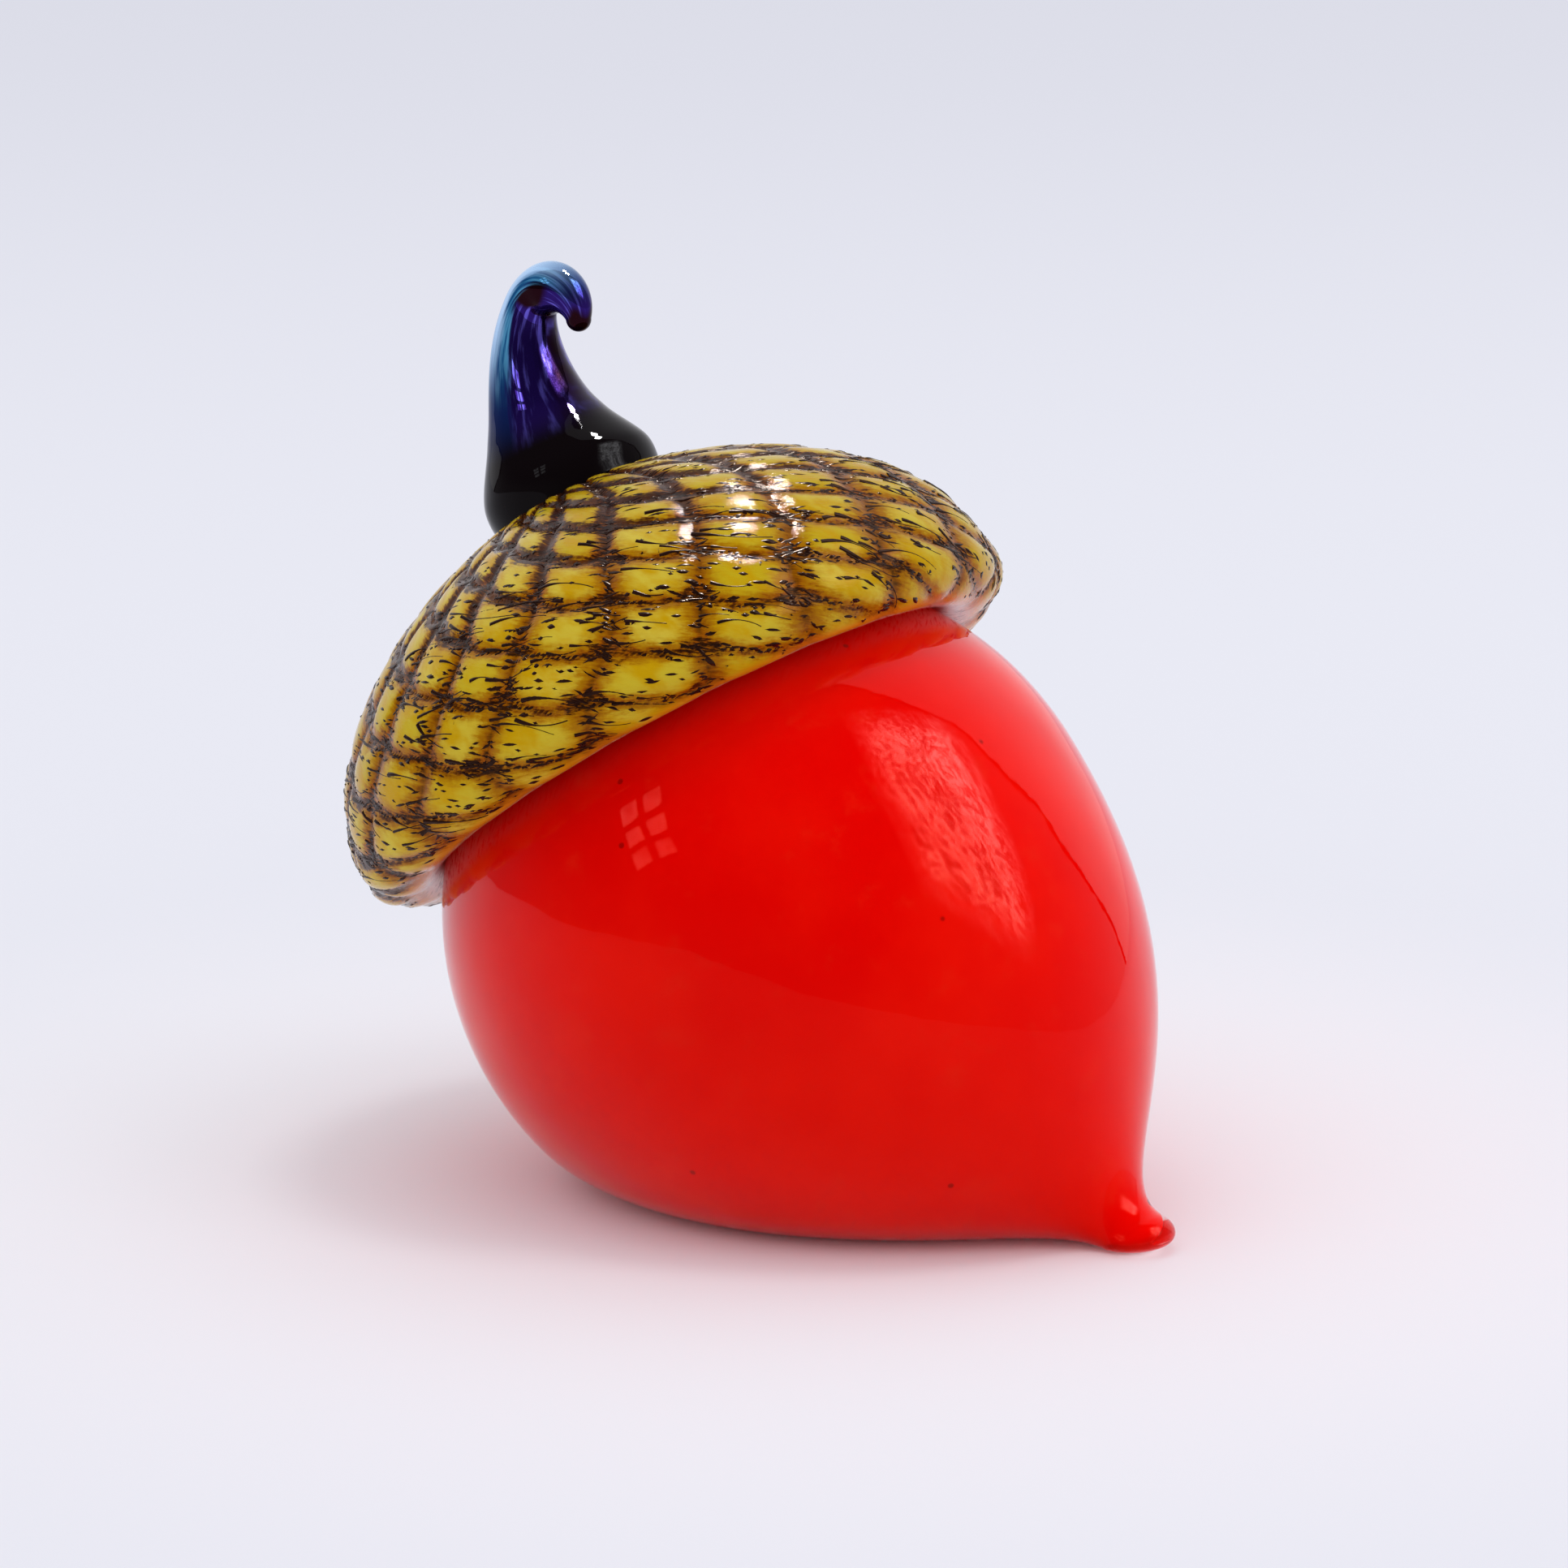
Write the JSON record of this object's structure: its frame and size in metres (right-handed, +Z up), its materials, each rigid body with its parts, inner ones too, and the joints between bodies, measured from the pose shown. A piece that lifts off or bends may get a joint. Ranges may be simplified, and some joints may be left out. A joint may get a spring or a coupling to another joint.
{
  "type": "glass acorn ornament",
  "caption": "Hand-blown glass acorn that lies on its flattened belly: cased red nut with a small nub, tilted cap of moulded amber cells with rolled lip, and dark hooked stem.",
  "frame": {"origin": "on the table, on the flat pressed into the nut's belly, straight below the centre of the nut's round back", "axes": "+Z up, +X towards the nut's nose, so the cap leans to -X; the XZ plane is the plane of symmetry of the nut, the cap's outline and the stem"},
  "size_m": [0.1269, 0.0999, 0.1259],
  "materials": {
    "clear_glass": "fire-polished clear casing",
    "red_glass": "opaque red colour layer",
    "amber_frit_glass": "glossy moulded cells with dark frit",
    "ivory_glass": "pale opal lining",
    "clear_adhesive": "clear cured bond",
    "dark_lustre_glass": "dark glass with a blue and violet lustre"
  },
  "bodies": {
    "root": {"nut_casing": "clear_glass", "nut_core": "red_glass", "cap_dome": "amber_frit_glass", "cap_lining": "ivory_glass", "bond_ring": "clear_adhesive", "stem": "dark_lustre_glass"}
  },
  "joints": []
}
